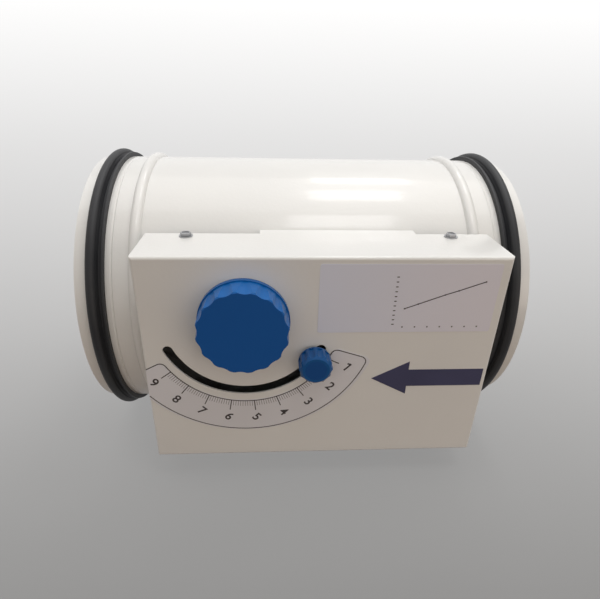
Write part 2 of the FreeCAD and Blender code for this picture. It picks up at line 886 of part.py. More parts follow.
def make_blade_axle():
    height, radius = s.axle_height, s.axle_radius
    rear_end = boss_face - s.boss_floor - s.axle_end_gap
    front_end = crank_back + s.crank_hub_length + s.touch_gap
    rod = cylinder("axle_rod", radius, rear_end + front_end, (axle_x, -front_end, height), "Y")
    flat_half = blade_half + s.bush_play / 2
    tools = [block("axle_flat_cut", (axle_x - radius * 2, -flat_half, height - radius * 2),
                   (axle_x + radius * 2, flat_half, blade_top))]
    groove_front = clip_back + s.clip_thickness + s.seat_gap
    ring = cylinder("axle_groove_ring", radius * 2, s.clip_thickness + 2 * s.seat_gap,
                    (axle_x, -groove_front, height), "Y")
    core = cylinder("axle_groove_core", radius - s.clip_groove, radius * 4,
                    (axle_x, -groove_front - radius, height), "Y")
    tools.append(cut("axle_groove", ring, core))
    for number, y in enumerate(blade_screw_places()):
        tools.append(cylinder("axle_tapped_hole_" + str(number), s.blade_screw_radius + s.running_gap,
                              radius * 1.4 + 1, (axle_x, y, blade_top - 1)))
    node("blade_axle", cut("blade_axle", rod, *tools))
    clip_front = clip_back + s.clip_thickness
    disc = cylinder("clip_disc", s.clip_radius, s.clip_thickness, (axle_x, -clip_front, height), "Y")
    bore = cylinder("clip_bore", radius - s.clip_groove + s.running_gap, s.clip_thickness * 3,
                    (axle_x, -clip_front - s.clip_thickness, height), "Y")
    mouth = block("clip_mouth",
                  (axle_x - radius * 0.7, -clip_front - s.clip_thickness, height - s.clip_radius * 2),
                  (axle_x + radius * 0.7, -clip_back + s.clip_thickness, height))
    node("axle_clip", cut("axle_clip", disc, bore, mouth))


# Damper blade: a trimmed disc set off-centre on its axle, with two pressed ribs

def make_damper_blade():
    reach = blade_radius * 1.1
    disc = cylinder("blade_disc", blade_radius, s.blade_sheet, (blade_x, 0, blade_bottom))
    limits = block("blade_limits", (blade_x - reach, -blade_half, blade_bottom - 1),
                   (blade_x + reach, blade_half, blade_top + 1))
    ribs, tools = [common("blade_trimmed", disc, limits)], []
    rib_length = 2 * (blade_radius - s.rib_end_gap)
    start = blade_x - rib_length / 2
    for number, side in enumerate((-1, 1)):
        y = side * (blade_radius - s.rib_edge)
        ribs.append(cylinder("blade_rib_" + str(number), s.rib_radius, rib_length, (start, y, blade_top), "X"))
        tools.append(cylinder("blade_rib_hollow_" + str(number), s.rib_radius - s.blade_sheet,
                              rib_length - 2 * s.blade_sheet, (start + s.blade_sheet, y, blade_top), "X"))
    tools.append(block("blade_above", (blade_x - reach, -blade_half, blade_top),
                       (blade_x + reach, blade_half, blade_top + 2 * s.rib_radius)))
    for number, y in enumerate(blade_screw_places()):
        tools.append(cylinder("blade_hole_" + str(number), s.blade_screw_radius + s.hole_gap,
                              s.blade_sheet * 3, (axle_x, y, blade_bottom - s.blade_sheet)))
    node("damper_blade", cut("damper_blade", fused("blade_pressed", *ribs), *tools))
    screws = []
    for number, y in enumerate(blade_screw_places()):
        name = "blade_screw_" + str(number)
        head = cylinder(name + "_head", s.blade_screw_head_radius, s.blade_screw_head,
                        (axle_x, y, blade_bottom - s.blade_screw_head))
        shank = cylinder(name + "_shank", s.blade_screw_radius, s.blade_sheet + s.axle_radius * 1.2,
                         (axle_x, y, blade_bottom))
        slot = block(name + "_slot",
                     (axle_x - s.blade_screw_head_radius * 2, y - s.blade_screw_head / 6,
                      blade_bottom - s.blade_screw_head * 2),
                     (axle_x + s.blade_screw_head_radius * 2, y + s.blade_screw_head / 6,
                      blade_bottom - s.blade_screw_head / 2))
        screws.append(cut(name, fused(name + "_solid", head, shank), slot))
    node("blade_screws", group("blade_screws", *screws))


# Crank on the axle's front end, its set screw, and the two stops of its travel

def make_axle_crank():
    height = s.axle_height
    tip_z = height + s.crank_radius
    hub = cylinder("crank_hub", s.crank_hub_radius, s.crank_hub_length, (axle_x, -crank_back, height), "-Y")
    arm = block("crank_arm", (axle_x - s.crank_half_width, -crank_front, height),
                (axle_x + s.crank_half_width, -crank_back, tip_z))
    tip = cylinder("crank_tip", s.crank_half_width, s.crank_sheet, (axle_x, -crank_back, tip_z), "-Y")
    peg = cylinder("crank_peg", s.peg_radius, peg_front - crank_back, (axle_x, -crank_back, tip_z), "-Y")
    bore = cylinder("crank_bore", s.axle_radius + s.seat_gap, s.crank_hub_length * 3,
                    (axle_x, -crank_back + s.crank_hub_length, height), "-Y")
    screw_level = crank_back + s.crank_hub_length / 2
    tapped = cylinder("crank_tapped_hole", s.set_screw_radius + s.seat_gap, s.crank_hub_radius * 2,
                      (axle_x, -screw_level, height), "-Z")
    node("axle_crank", cut("axle_crank", fused("crank_solid", hub, arm, tip, peg), bore, tapped))
    top = height - s.axle_radius - s.seat_gap
    rod = cylinder("set_screw_rod", s.set_screw_radius, s.crank_hub_radius - s.axle_radius - s.touch_gap,
                   (axle_x, -screw_level, top), "-Z")
    socket = hexagon("set_screw_socket", s.socket_radius, s.set_screw_radius,
                     (axle_x, -screw_level, height - s.crank_hub_radius))
    node("crank_set_screw", cut("crank_set_screw", rod, socket))
    pins = []
    for number, (x, z) in enumerate(stop_places()):
        name = "stop_pin_" + str(number)
        post = cylinder(name + "_post", s.stop_radius, crank_front + s.touch_gap - web_front,
                        (x, -web_front, z), "-Y")
        foot = cylinder(name + "_foot", s.stop_foot_radius, s.frame_sheet, (x, -web_back, z), "-Y")
        pins.append(fused(name, post, foot))
    node("stop_pins", group("stop_pins", *pins))


# Bellows that damps the blade, between the blade and a strap across the duct

def make_bellows_bracket():
    start = axle_x + s.bracket_start
    end = start + s.bracket_length
    sheet, bottom = s.bracket_sheet, s.bracket_height
    outer = inner_radius - s.seat_gap
    inner = outer - sheet
    half = root(square(outer) - square(bottom + sheet))
    strap = block("bracket_strap", (start, -half, bottom), (end, half, bottom + sheet))
    ring = cut("bracket_ring",
               cylinder("bracket_ring_outer", outer, s.bracket_length, (start, 0, 0), "X"),
               cylinder("bracket_ring_inner", inner, s.bracket_length + 2 * sheet, (start - sheet, 0, 0), "X"))
    band = block("bracket_band", (start - 1, -s.duct_radius, bottom),
                 (end + 1, s.duct_radius, bottom + s.bracket_tab))
    solid = fused("bracket_solid", strap, common("bracket_tabs", ring, band))
    holes, rivets = [], []
    for number, (x, turn) in enumerate(bracket_rivet_places()):
        holes.append(cylinder("bracket_hole_" + str(number), s.rivet_radius + s.hole_gap,
                              s.duct_radius, (x, 0, 0), turn))
        outwards = turn.multVec(FreeCAD.Vector(0, 0, 1))
        seat = s.duct_radius + s.seat_gap
        rivets.append(rivet("bracket_rivet_" + str(number), (x, seat * outwards.y, seat * outwards.z),
                            turn, s.duct_wall + sheet + 3 * s.seat_gap))
    node("bellows_bracket", cut("bellows_bracket", solid, *holes))
    node("bellows_bracket_rivets", group("bellows_bracket_rivets", *rivets))


def pleat(name, bottom, top, bottom_inset, top_inset):
    """One sloping wall of a pleat: a frustum between two rectangles."""
    start = axle_x + s.bellows_start
    end = start + s.bellows_length
    half = s.bellows_width / 2
    made = bound(
        "Wedge", name, Ymin=bottom, Ymax=top,
        Xmin=start + bottom_inset, Xmax=end - bottom_inset,
        Zmin=bottom_inset - half, Zmax=half - bottom_inset,
        X2min=start + top_inset, X2max=end - top_inset,
        Z2min=top_inset - half, Z2max=half - top_inset)
    made.Placement = FreeCAD.Placement(FreeCAD.Vector(), FreeCAD.Rotation(FreeCAD.Vector(1, 0, 0), 90))
    return made


def make_bellows():
    step = (s.bracket_height - blade_top) / (2 * BELLOWS_PLEATS)
    skins, hollows = [], []
    for number in range(2 * BELLOWS_PLEATS):
        bottom = blade_top + step * number
        insets = (size(0), s.bellows_fold) if number % 2 else (s.bellows_fold, size(0))
        skins.append(pleat("bellows_skin_" + str(number), bottom, bottom + step, *insets))
        inner = [inset + s.bellows_wall for inset in insets]
        hollows.append(pleat("bellows_hollow_" + str(number), bottom, bottom + step, *inner))
    node("bellows", cut("bellows", fused("bellows_block", *skins), *hollows))


# Setting lever on its pivot, with the stud that slides in the arc slot

def make_setting_lever():
    height = s.dial_height
    pin = cylinder("pivot_pin", s.pivot_radius, lever_front - web_front, (dial_x, -web_front, height), "-Y")
    foot = cylinder("pivot_foot", s.pivot_foot_radius, s.frame_sheet, (dial_x, -web_back, height), "-Y")
    node("setting_pivot", fused("setting_pivot", pin, foot))
    back = web_front + s.touch_gap
    shank_end = knob_back + s.knob_socket - s.touch_gap
    hub = cylinder("lever_hub", s.hub_radius, lever_front - back, (dial_x, -back, height), "-Y")
    shank = cylinder("lever_shank", s.shank_radius, shank_end - lever_back, (dial_x, -lever_back, height), "-Y")
    arm = bound("Box", "lever_arm", Length=s.slot_radius, Width=s.lever_sheet, Height=2 * s.lever_half_width)
    side_x = s.lever_half_width * cosine(s.setting_angle)
    side_z = s.lever_half_width * sine(s.setting_angle)
    place(arm, (dial_x - side_x, -lever_front, height - side_z),
          FreeCAD.Rotation(FreeCAD.Vector(0, 1, 0), 90 - SIZES["setting_angle"]))
    arm.setExpression("Placement.Rotation.Angle", (90 - s.setting_angle).formula)
    tip = cylinder("lever_tip", s.lever_half_width, s.lever_sheet, (stud_x, -lever_back, stud_z), "-Y")
    anchor_x, anchor_z = along_lever(s.anchor_reach)
    peg = cylinder("lever_peg", s.peg_radius, lever_front - crank_front - s.touch_gap,
                   (anchor_x, -lever_front, anchor_z), "Y")
    bore = cylinder("lever_bore", s.pivot_radius + s.running_gap, lever_front - back + 2 * s.touch_gap,
                    (dial_x, -back + s.touch_gap, height), "-Y")
    flat_cut = block("lever_flat",
                     (dial_x - s.shank_radius * 2, -shank_end - 1, height + s.shank_radius - s.shank_flat),
                     (dial_x + s.shank_radius * 2, -knob_back, height + s.shank_radius * 2))
    hole = cylinder("lever_stud_hole", s.stud_radius + s.seat_gap, s.lever_sheet * 3,
                    (stud_x, -lever_back + s.lever_sheet, stud_z), "-Y")
    solid = fused("lever_solid", hub, shank, arm, tip, peg)
    node("setting_lever", cut("setting_lever", solid, bore, flat_cut, hole))


def make_clamp_stud():
    end = clamp_back + s.insert_length - s.stud_end_gap
    head = cylinder("stud_head", s.stud_head_radius, s.stud_head, (stud_x, -lever_back, stud_z), "Y")
    rod = cylinder("stud_rod", s.stud_radius, end - lever_back, (stud_x, -lever_back, stud_z), "-Y")
    node("clamp_stud", fused("clamp_stud", head, rod))
    disc = cylinder("washer_disc", s.washer_radius, s.washer_thickness, (stud_x, -knob_back, stud_z), "-Y")
    bore = cylinder("washer_bore", s.stud_radius + s.hole_gap, s.washer_thickness * 3,
                    (stud_x, -knob_back + s.washer_thickness, stud_z), "-Y")
    node("clamp_washer", cut("clamp_washer", disc, bore))


# Tension spring: a ribbed coil with a bail round each peg, built along its own X axis

def make_tension_spring():
    anchor_x, anchor_z = along_lever(s.anchor_reach)
    across, up = axle_x - anchor_x, s.axle_height + s.crank_radius - anchor_z
    length = root(square(across) + square(up))
    coil_radius, bail, wire = s.spring_radius, s.spring_bail, s.spring_wire_radius
    pitch = (length - 2 * bail) / SPRING_COILS
    outline = [(bail, coil_radius)]
    for number in range(SPRING_COILS):
        outline += [Arc(bail + pitch * (number + 0.5), coil_radius, "right"),
                    (bail + pitch * (number + 1), coil_radius)]
    outline += [(length - bail, coil_radius - wire), (bail, coil_radius - wire)]
    pieces = [revolved("spring_coil", outline)]
    for name, centre, inwards in (("anchor", size(0), 1), ("crank", length, -1)):
        loop = bound("Torus", "spring_bail_" + name, Radius1=coil_radius, Radius2=wire)
        loop.Angle3 = 180
        turn = FreeCAD.Rotation(FreeCAD.Vector(0, 1, 0), -90 * inwards)
        turn = turn.multiply(FreeCAD.Rotation(FreeCAD.Vector(1, 0, 0), 90))
        pieces.append(place(loop, (centre, 0, 0), turn))
        leg_start = centre if inwards > 0 else centre - bail - wire
        for side in (-1, 1):
            pieces.append(cylinder("spring_leg_" + name + ("_low" if side < 0 else "_high"),
                                   wire, bail + wire, (leg_start, 0, side * coil_radius), "X"))
    spring = fused("tension_spring", *pieces)
    place(spring, (anchor_x, -spring_level, anchor_z), FreeCAD.Rotation(FreeCAD.Vector(0, -1, 0), 45))
    spring.setExpression("Placement.Rotation.Angle", "atan2(" + up.formula + "; " + across.formula + ")")
    node("tension_spring", spring)


# Knobs: scalloped grips on a round rim, each built about its own Z axis

def scallops(name, count, radius, height, start, depth, cutter, back_cutter, turn=0):
    """Cutters round a grip, each from the rim up to the front face."""
    tools = []
    for number in range(count):
        angle = math.radians(360 * (number + 0.5) / count + turn)
        centre = radius + cutter - depth
        base = (centre * math.cos(angle), centre * math.sin(angle), start)
        tools.append(cone(name + "_scallop_" + str(number), back_cutter, cutter, height - start + 0.001, base))
    return tools


def stand_knob(made, x, z, back):
    return place(made, (x, -back, z), ALONG["-Y"])


def make_setting_knob():
    radius, height, edge = s.knob_radius, s.knob_height, s.knob_edge
    skirt = cylinder("knob_skirt", radius, height - edge, (0, 0, 0))
    rim = cylinder("knob_rim_disc", radius + s.knob_rim_step, s.knob_rim, (0, 0, 0))
    face = cone("knob_face", radius, radius - edge, edge, (0, 0, height - edge))
    hub_outer = s.shank_radius + s.knob_wall
    hollow_outer = radius - s.knob_scallop - s.knob_wall
    hollow = cut("knob_hollow",
                 cylinder("knob_hollow_outer", hollow_outer, height - s.knob_wall + 1, (0, 0, -1)),
                 cylinder("knob_hollow_hub", hub_outer, height + 2, (0, 0, -1)))
    socket = cut("knob_socket",
                 cylinder("knob_socket_round", s.shank_radius + s.seat_gap, s.knob_socket + 1, (0, 0, -1)),
                 block("knob_socket_flat",
                       (-s.shank_radius * 2, s.shank_radius - s.shank_flat + s.seat_gap, -2),
                       (s.shank_radius * 2, s.shank_radius * 2, s.knob_socket + 2)))
    tools = scallops("knob", SIZES["knob_lobes"], radius, height, s.knob_rim, s.knob_scallop,
                     s.knob_cutter, s.knob_cutter - s.knob_scallop * 0.8, SIZES["knob_turn"])
    knob = cut("setting_knob", fused("knob_solid", skirt, rim, face), hollow, socket, *tools)
    node("setting_knob", stand_knob(knob, dial_x, s.dial_height, knob_back))


def make_clamp_knob():
    radius, height, bevel = s.clamp_radius, s.clamp_height, s.clamp_bevel
    skirt = cylinder("clamp_skirt", radius, height - bevel, (0, 0, 0))
    face = cone("clamp_face", radius, radius - bevel, bevel, (0, 0, height - bevel))
    bore = cylinder("clamp_bore", s.insert_radius + s.seat_gap, s.insert_length + 1, (0, 0, -1))
    tools = scallops("clamp", SIZES["clamp_lobes"], radius, height, s.clamp_rim, s.clamp_scallop,
                     s.clamp_cutter, s.clamp_cutter - s.clamp_scallop / 4)
    knob = cut("clamp_knob", fused("clamp_solid", skirt, face), bore, *tools)
    node("clamp_knob", stand_knob(knob, stud_x, stud_z, clamp_back))
    sleeve = cylinder("insert_sleeve", s.insert_radius, s.insert_length, (0, 0, 0))
    thread = cylinder("insert_thread", s.stud_radius + s.running_gap, s.insert_length + 2, (0, 0, -1))
    insert = cut("clamp_insert", sleeve, thread)
    node("clamp_insert", stand_knob(insert, stud_x, stud_z, clamp_back))


# Labels: thin sheets on the cover's front

def scale_outline():
    """A ring sector round the slot with rounded ends; the cover's edge cuts the left end off."""
    inner, outer, corner = scale_inner, scale_outer, s.scale_corner

    def spot(along, across=size(0), hand=1, angle=s.scale_start_angle):
        """A place from the dial's axis along the line of one end and across it."""
        sin, cos = sine(angle), cosine(angle)
        x = dial_x + hand * (along * sin - across * cos)
        return x, s.dial_height - along * cos - across * sin

    far = root(square(outer - corner) - square(corner))
    near = root(square(inner + corner) - square(corner))
    far_scale = outer / (outer - corner)
    near_scale = inner / (inner + corner)
    left = cover_left + s.scale_edge_gap
    left_reach = (dial_x - left) / sine(s.scale_end_angle)
    left_low = root(square(outer) - square(dial_x - left))
    end = (-1, s.scale_end_angle)
    return [
        (left, s.dial_height - left_low),
        Arc(dial_x, s.dial_height, "left"),
        spot(far * far_scale, corner * far_scale),
        Arc(*spot(far, corner), "left"),
        spot(far),
        spot(near),
        Arc(*spot(near, corner), "left"),
        spot(near * near_scale, corner * near_scale),
        Arc(dial_x, s.dial_height, "right"),
        spot(near * near_scale, corner * near_scale, *end),
        Arc(*spot(near, corner, *end), "left"),
        spot(near, size(0), *end),
        (left, s.dial_height - left_reach * cosine(s.scale_end_angle)),
    ]


def make_labels():
    front, sheet = cover_front, s.label_thickness
    node("scale_label", standing("scale_label", scale_outline(), front, sheet))
    outline = rounded_rectangle(cover_x - s.plate_lap, s.plate_level, cover_right - s.plate_edge,
                                cover_top - s.plate_drop, s.plate_corner)
    node("type_label", standing("type_label", outline, front, sheet))
    tip = dial_x + scale_outer * sine(s.scale_start_angle) + s.arrow_gap
    end, level = cover_right - s.arrow_edge, -s.arrow_level
    neck = tip + (end - tip) * s.arrow_head_share
    arrow = [
        (tip, level),
        (neck, level - s.arrow_head_half),
        (neck, level - s.arrow_shaft_half),
        (end, level - s.arrow_shaft_half),
        (end, level + s.arrow_shaft_half),
        (neck, level + s.arrow_shaft_half),
        (neck, level + s.arrow_head_half),
    ]
    node("flow_arrow", standing("flow_arrow", arrow, front, sheet))


MAKERS = (
    make_duct_body, make_seals, make_housing_frame, make_cover, make_cover_screws, make_bearings,
    make_blade_axle, make_damper_blade, make_axle_crank, make_bellows_bracket, make_bellows,
    make_setting_lever, make_clamp_stud, make_tension_spring, make_setting_knob, make_clamp_knob,
    make_labels,
)


# Build, check and export each piece

def check(made):
    state = set(made.State)
    if state & {"Invalid", "Error"}:
        raise RuntimeError(made.Name + " did not build: " + ", ".join(sorted(state)))
    if hasattr(made, "Shape") and (made.Shape.isNull() or not made.Shape.isValid()):
        raise RuntimeError(made.Name + " has no valid shape")


for make in MAKERS:
    make()
document.recompute()
for made in document.Objects:
    if made.TypeId.split("::")[0] in ("Part", "PartDesign", "Sketcher", "Spreadsheet"):
        check(made)

os.makedirs("parts", exist_ok=True)
for name, made in nodes.items():
    made.Shape.exportStep(os.path.join("parts", name + ".step"))
    box = made.Shape.BoundBox
    print(name, len(made.Shape.Solids), "solid(s)",
          [round(value, 1) for value in (box.XMin, box.XMax, box.YMin, box.YMax, box.ZMin, box.ZMax)])
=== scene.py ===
import json
import math

import bpy
from mathutils import Matrix, Vector


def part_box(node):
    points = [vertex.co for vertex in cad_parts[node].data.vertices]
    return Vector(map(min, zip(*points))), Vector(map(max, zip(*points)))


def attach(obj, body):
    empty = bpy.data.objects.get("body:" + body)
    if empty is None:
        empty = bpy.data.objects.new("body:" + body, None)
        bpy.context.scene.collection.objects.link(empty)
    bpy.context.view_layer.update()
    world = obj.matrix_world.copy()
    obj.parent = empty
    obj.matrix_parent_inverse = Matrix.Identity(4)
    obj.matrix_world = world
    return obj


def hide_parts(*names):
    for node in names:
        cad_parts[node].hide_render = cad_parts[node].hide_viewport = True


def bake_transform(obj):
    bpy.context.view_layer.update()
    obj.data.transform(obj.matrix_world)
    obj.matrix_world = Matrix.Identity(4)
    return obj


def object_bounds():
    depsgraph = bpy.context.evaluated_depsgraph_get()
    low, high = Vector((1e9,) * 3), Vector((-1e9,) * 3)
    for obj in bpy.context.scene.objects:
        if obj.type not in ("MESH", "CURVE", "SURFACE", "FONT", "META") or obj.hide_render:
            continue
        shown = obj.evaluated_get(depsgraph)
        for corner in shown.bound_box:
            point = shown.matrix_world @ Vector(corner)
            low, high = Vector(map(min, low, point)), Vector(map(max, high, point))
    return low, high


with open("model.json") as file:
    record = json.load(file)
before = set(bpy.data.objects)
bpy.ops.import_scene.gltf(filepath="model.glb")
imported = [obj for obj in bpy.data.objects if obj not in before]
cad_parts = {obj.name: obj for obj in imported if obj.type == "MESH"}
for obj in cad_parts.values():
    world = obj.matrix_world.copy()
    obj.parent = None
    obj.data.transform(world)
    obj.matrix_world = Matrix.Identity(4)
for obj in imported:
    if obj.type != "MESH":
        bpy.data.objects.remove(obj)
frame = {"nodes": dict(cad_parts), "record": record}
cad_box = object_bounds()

bl_info = {
    "name": "Constant flow damper",
    "version": (1, 0, 0),
    "blender": (4, 5, 0),
    "location": "View3D > Sidebar > Damper",
    "description": "Finishes, dial print and soft parts of a round constant flow damper",
    "category": "Object",
}

MM = 0.001


def axis_of(name):
    """The place of a joint of the frame."""
    joints = frame["record"]["behaviour"]["joints"]
    return Vector(next(joint["pos_m"] for joint in joints if joint["name"] == name))


# Places that come from the frame

COVER_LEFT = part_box("cover")[0][0]
LABEL_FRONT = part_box("scale_label")[0][1]
KNOB_LOW, KNOB_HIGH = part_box("setting_knob")
CLAMP_LOW, CLAMP_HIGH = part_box("clamp_knob")
PLATE_LOW, PLATE_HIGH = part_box("type_label")
BELLOWS_LOW, BELLOWS_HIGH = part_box("bellows")
CRANK_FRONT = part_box("axle_crank")[0][1]
DIAL = axis_of("setting_turn")
AXLE = axis_of("blade_turn")

# Dial: its numbers, the ticks' steps between two of them, the length of a step of a
# printed arc and the bare strip at the cover's left edge
NUMBERS, PARTS = 9, 10
ARC_STEP, BARE_EDGE = 0.9 * MM, 0.6 * MM

# Digits: half their height as a share of the font's size, how far their outline is
# thickened, and in halves of their height the stem and the flag of digit 1
HALF_HEIGHT, THICKENING = 0.36, 0.16 * MM
STEM_SHIFT, FLAG_START, FLAG_ACROSS, FLAG_DOWN = 0.15, 0.1, 0.65, 0.45

# Chart on the type label, in millimetres along x and z
ROWS, TOP_ROW, ROW_STEP, ROW_LEFT, ROW_RIGHT = 11, 54.8, 3.23, -102.3, -100.8
COLUMNS, FIRST_COLUMN, COLUMN_STEP, COLUMN_LEVEL = 7, -95.2, 7.98, 20.5
DOT_REACH, MARK_REACH, DOT_HEIGHT = 0.45, 0.5, 0.9
CURVE = [(-95.2, 33.5), (-87.1, 36.6), (-71.2, 42.8), (-63.1, 45.6), (-47.3, 51.5)]

# Spring and bellows: steps in a turn of the coil and in half a turn of its end loops,
# and the rounding of the pleats, which is also the seam that each end keeps
COIL_STEPS, LOOP_STEPS = 20, 8
PLEAT_SEAM = 0.5 * MM

# Stage in metres: the paper and its bend, the ceiling strips' level, and each strip's
# name, place and size
PAPER_SIZE, PAPER_RISE, PAPER_BEND, BEND_STEPS = (9.0, 6.0), 4.0, 1.4, 24
MIDDLE, CEILING = (-0.15, 0.0, 0.0), 1.2
STRIPS = (("back", 0.14, 0.70, (0.34, 0.22)), ("middle", 0.09, 0.22, (0.30, 0.26)),
          ("front", 0.05, -0.38, (0.34, 0.28)))
WHITE, WARM_WHITE, SKY_WHITE = (1.0, 1.0, 1.0), (1.0, 0.84, 0.70), (1.0, 0.95, 0.90, 1.0)

# Camera: the width of its sensor in millimetres, its shift and its range
SENSOR, SHIFT, CLIP = 36.0, (0.00435, 0.00211), (0.01, 30.0)


# Sizes and colours that a user would change

def length(name, description, default):
    return bpy.props.FloatProperty(name=name, description=description, default=default,
                                   min=0.0, precision=5, subtype="DISTANCE", unit="LENGTH")


def angle(name, description, degrees):
    return bpy.props.FloatProperty(name=name, description=description,
                                   default=math.radians(degrees),
                                   subtype="ANGLE", unit="ROTATION")


def colour(name, description, default):
    return bpy.props.FloatVectorProperty(name=name, description=description, default=default,
                                         size=3, min=0.0, max=1.0, subtype="COLOR")


def whole(name, description, default, low=1):
    return bpy.props.IntProperty(name=name, description=description, default=default, min=low)


def power(name, description, default):
    return bpy.props.FloatProperty(name=name, description=description, default=default,
                                   min=0.0, subtype="POWER")


class DamperFinishes(bpy.types.PropertyGroup):
    """Colours of the finishes."""

    coat: colour("Coat", "Gloss powder coat of the duct and the cover", (0.80, 0.80, 0.78))
    coat_shade: colour("Coat shade", "Faintly duller patches of the coat", (0.76, 0.76, 0.745))
    rubber: colour("Rubber", "Lip seals and bellows", (0.021, 0.0225, 0.0265))
    rubber_bloom: colour("Rubber bloom", "Paler streaks on the seals", (0.047, 0.049, 0.052))
    knob: colour("Knob", "Blue plastic of both knobs", (0.003, 0.120, 0.40))
    knob_dark: colour("Knob face", "Matte face of both knobs", (0.003, 0.090, 0.355))
    plate: colour("Type label", "Film of the type label at its left end", (0.72, 0.755, 0.87))
    plate_end: colour("Type label end", "Film of the type label at its right end",
                      (0.775, 0.76, 0.83))
    dial: colour("Dial film", "Film of the dial", (0.755, 0.76, 0.80))
    ink: colour("Ink", "Lines and digits of the print", (0.05, 0.042, 0.042))
    pale_ink: colour("Pale ink", "Short ticks of the dial", (0.16, 0.14, 0.14))
    arrow: colour("Arrow", "Dark film of the flow arrow", (0.047, 0.047, 0.105))
    zinc: colour("Zinc", "Plated steel", (0.47, 0.48, 0.50))
    galvanised: colour("Galvanised", "Zinc-coated sheet", (0.56, 0.57, 0.58))
    aluminium: colour("Aluminium", "Mill-finish sheet and rivets", (0.74, 0.75, 0.76))


class DamperPrint(bpy.types.PropertyGroup):
    """Lines, ticks and digits of the dial and of the chart."""

    drop: length("Drop", "Distance of the print's centre below the knob's axis", 2.6 * MM)
    inner_radius: length("Inner line", "Radius of the line that carries the ticks", 59.4 * MM)
    outer_radius: length("Outer line", "Radius of the dial's outer line", 83.4 * MM)
    digit_radius: length("Digit radius", "Radius of the digits' middles", 73.7 * MM)
    digit_height: length("Digit height", "Size of the digits' font", 9.1 * MM)
    digit_stroke: length("Digit stroke", "Width of the strokes of digit 1", 1.15 * MM)
    major_length: length("Long tick", "Length of a numbered tick", 8.2 * MM)
    minor_length: length("Short tick", "Length of a tick between numbers", 4.3 * MM)
    line_width: length("Line", "Width of the outlines and long ticks", 0.66 * MM)
    fine_width: length("Fine line", "Width of the short ticks", 0.28 * MM)
    relief: length("Relief", "Height of the print above its film", 0.03 * MM)
    corner: length("Corner", "Radius of the outline's corners", 4.0 * MM)
    first: angle("First tick", "Angle of tick 1 from straight down", 63.6)
    step: angle("Step", "Angle from one number to the next", 14.67)
    start: angle("Start", "Angle of the outline's right end", 71.6)
    end: angle("End", "Angle of the outline's left end", 62.4)
    digit_lean: angle("Digit lean", "Clockwise turn of each digit", 45.0)


class DamperWorks(bpy.types.PropertyGroup):
    """Coil spring and bellows behind the cover and in the duct."""

    coils: whole("Coils", "Turns of the tension spring", 19, 3)
    wire_radius: length("Wire", "Radius of the spring's wire", 0.75 * MM)
    coil_radius: length("Coil", "Radius of the coil at the wire's middle", 3.2 * MM)
    anchor_reach: length("Anchor", "Distance of the spring's anchor from the dial's axis",
                         30.0 * MM)
    setting: angle("Setting", "Angle of the clamp knob from straight down", 57.0)
    crank_radius: length("Crank", "Distance of the crank's peg from the axle", 22.0 * MM)
    pleats: whole("Pleats", "Pleats of the bellows", 4)
    fold: length("Fold", "Depth of a pleat", 3.0 * MM)


class DamperStage(bpy.types.PropertyGroup):
    """Camera, floor and lamps."""

    place: bpy.props.FloatVectorProperty(name="Camera", description="Camera's place", size=3,
                                         default=(-0.17723, -0.36962, 0.16454),
                                         subtype="TRANSLATION")
    tilt: angle("Tilt", "Camera's turn up from straight down", 63.012)
    pan: angle("Pan", "Camera's turn about the vertical", -3.673)
    roll: angle("Roll", "Camera's turn about its own line of sight", 1.417)
    lens: bpy.props.FloatProperty(name="Lens", description="Focal length in millimetres",
                                  default=27.51, min=1.0)
    floor: colour("Floor", "Paper under and behind the damper", (0.15, 0.15, 0.15))
    bounce: colour("Bounce", "Warm light that the floor sends up", (0.18, 0.11, 0.06))
    glow: colour("Glow", "Even light of the paper far behind the damper", (0.94, 0.94, 0.94))
    key: power("Key", "Power of the lamp overhead", 8.0)
    fill: power("Fill", "Power of the lamp in front", 2.8)
    strips: power("Strips", "Power of the ceiling strips per square metre", 16.0)
    sky: bpy.props.FloatProperty(name="Sky", description="Strength of the even light all round",
                                 default=0.56, min=0.0, max=4.0, subtype="FACTOR")


def settings(name):
    return getattr(bpy.context.scene, name)


def shaded(tone, factor):
    """A colour made darker or brighter."""
    return [value * factor for value in tone]


# Shader arithmetic

class Wire:
    """One socket of a finish's nodes, which Python's operators turn into Math nodes."""

    def __init__(self, finish, socket):
        self.finish, self.socket = finish, socket

    def _math(self, operation, first, second):
        return self.finish.node("ShaderNodeMath", {"operation": operation}, {0: first, 1: second})

    def __add__(self, other):
        return self._math("ADD", self, other)

    def __sub__(self, other):
        return self._math("SUBTRACT", self, other)

    def __rsub__(self, other):
        return self._math("SUBTRACT", other, self)

    def __mul__(self, other):
        return self._math("MULTIPLY", self, other)

    def __truediv__(self, other):
        return self._math("DIVIDE", self, other)

    def __lt__(self, other):
        return self._math("LESS_THAN", self, other)

    __radd__, __rmul__ = __add__, __mul__

    def at_least(self, low):
        return self._math("MAXIMUM", self, low)

    def between(self, low, high):
        """Rises smoothly from 0 at low to 1 at high."""
        return self.finish.node("ShaderNodeMapRange", {"interpolation_type": "SMOOTHSTEP"},
                                {"Value": self, "From Min": low, "From Max": high})


